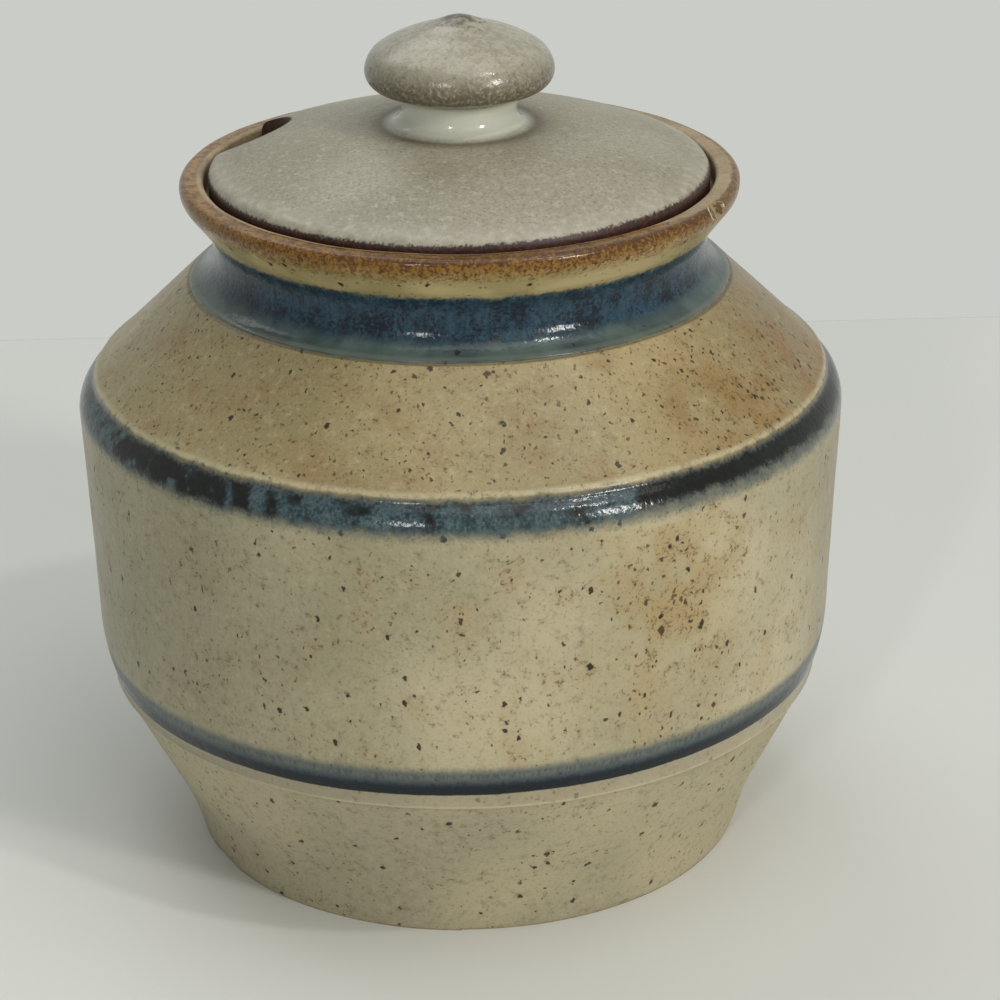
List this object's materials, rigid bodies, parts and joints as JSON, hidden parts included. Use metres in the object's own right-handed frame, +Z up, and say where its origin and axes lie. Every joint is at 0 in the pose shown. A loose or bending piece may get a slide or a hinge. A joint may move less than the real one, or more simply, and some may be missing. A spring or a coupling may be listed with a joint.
{
  "type": "stoneware honey pot with lid",
  "caption": "Squat wheel-thrown stoneware honey pot with a flared rim and a domed lid with a round knob, its edge scalloped for a dipper; tan glaze with blue bands.",
  "frame": {"origin": "centre of the flat foot, on the surface that the pot stands on", "axes": "+Z up along the pot's axis through the knob; the lid's scallop is at the back left and -Y is the front"},
  "size_m": [0.1222, 0.1222, 0.1351],
  "materials": {
    "pot_glaze": "speckled tan salt glaze with cobalt blue bands",
    "lid_glaze": "pale grey satin glaze with a bare red-brown edge"
  },
  "bodies": {
    "root": {"pot": "pot_glaze", "lid": "lid_glaze"}
  },
  "joints": []
}
